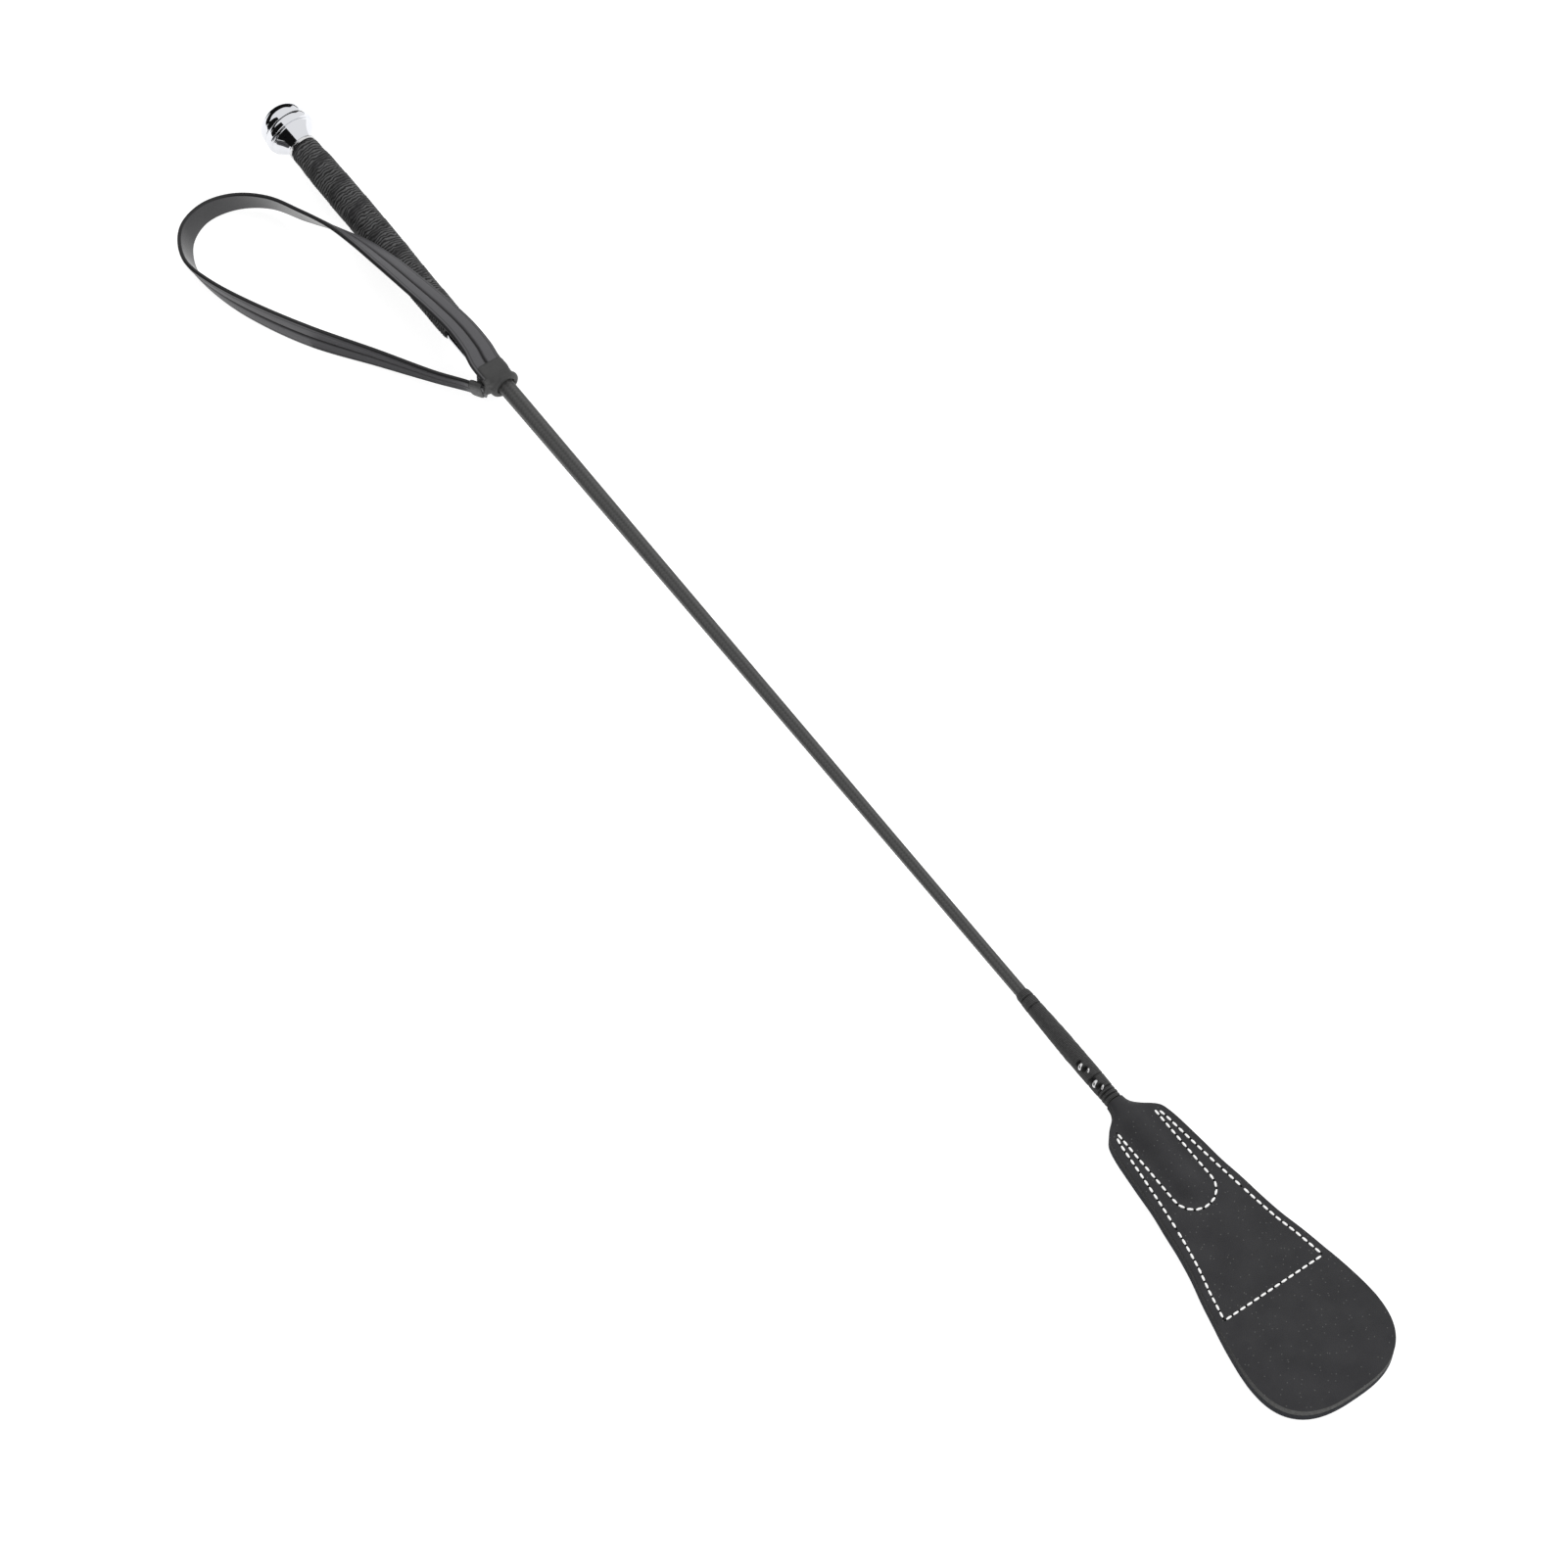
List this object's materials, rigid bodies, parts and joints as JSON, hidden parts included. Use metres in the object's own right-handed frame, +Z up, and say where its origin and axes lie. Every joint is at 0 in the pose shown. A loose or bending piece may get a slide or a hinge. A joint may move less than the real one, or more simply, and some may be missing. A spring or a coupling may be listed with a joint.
{
  "type": "riding crop",
  "caption": "Riding crop with a braided tapered shaft, wound grip, metal butt cap, wrist loop and a stitched two-leaf leather tongue that flexes and claps.",
  "frame": {"origin": "middle of the flat spot on the butt cap's end, on the shaft's axis", "axes": "+X along the shaft towards the tongue's tip, +Z up off the tongue's upper face"},
  "size_m": [0.7031, 0.0996, 0.0254],
  "materials": {
    "polished_chrome": "polished chrome plate",
    "bezel_steel": "bright turned ring",
    "core_plastic": "extruded tube",
    "grip_tape": "crinkled tacky tape",
    "fibreglass": "pultruded glass rod",
    "braid": "fine knitted nylon with lengthwise ribs",
    "tip_rubber": "moulded cap",
    "whipping_thread": "tight waxed thread turns",
    "staple_wire": "bright wire",
    "strap_leather": "smooth folded strap",
    "collar_leather": "smooth matte boot",
    "upper_leather": "fine matte grain",
    "lower_leather": "fine matte grain",
    "stitch_thread": "thick white thread"
  },
  "bodies": {
    "root": {"butt_cap": "polished_chrome", "grip_bezel_ring": "bezel_steel", "handle_core_tube": "core_plastic", "grip_tape": "grip_tape", "lower_ferrule": "polished_chrome", "fibreglass_rod": "fibreglass", "braided_shaft_cover": "braid", "rod_tip_cap": "tip_rubber", "tip_whipping": "whipping_thread", "neck_staples": "staple_wire", "wrist_strap_ends": "strap_leather", "strap_sleeve": "collar_leather", "strap_collar": "collar_leather", "upper_leaf_neck": "upper_leather", "lower_leaf_neck": "lower_leather", "pocket_stitching": "stitch_thread", "neck_edge_stitching": "stitch_thread"},
    "loop": {"wrist_strap": "strap_leather"},
    "tongue": {"upper_leaf_middle": "upper_leather", "lower_leaf_middle": "lower_leather", "side_edge_stitching": "stitch_thread", "cross_stitching": "stitch_thread"},
    "upper_flap": {"upper_leaf_flap": "upper_leather"},
    "lower_flap": {"lower_leaf_flap": "lower_leather"}
  },
  "joints": [
    {"name": "loop_swing", "type": "hinge", "parent": "root", "child": "loop", "pos_m": [0.15, 0, 0.0068], "axis": [0, 1, 0], "range_deg": [0, 110]},
    {"name": "tongue_flex", "type": "hinge", "parent": "root", "child": "tongue", "pos_m": [0.615, 0, 0], "axis": [0, -1, 0], "range_deg": [-35, 35], "stiffness_Nm_per_rad": 0.6},
    {"name": "upper_flap_lift", "type": "hinge", "parent": "tongue", "child": "upper_flap", "pos_m": [0.65604, 0, -0.00101], "axis": [0, -1, 0], "range_deg": [0, 30], "stiffness_Nm_per_rad": 0.15},
    {"name": "lower_flap_drop", "type": "hinge", "parent": "tongue", "child": "lower_flap", "pos_m": [0.65573, 0, -0.00514], "axis": [0, 1, 0], "range_deg": [0, 30], "stiffness_Nm_per_rad": 0.15}
  ]
}
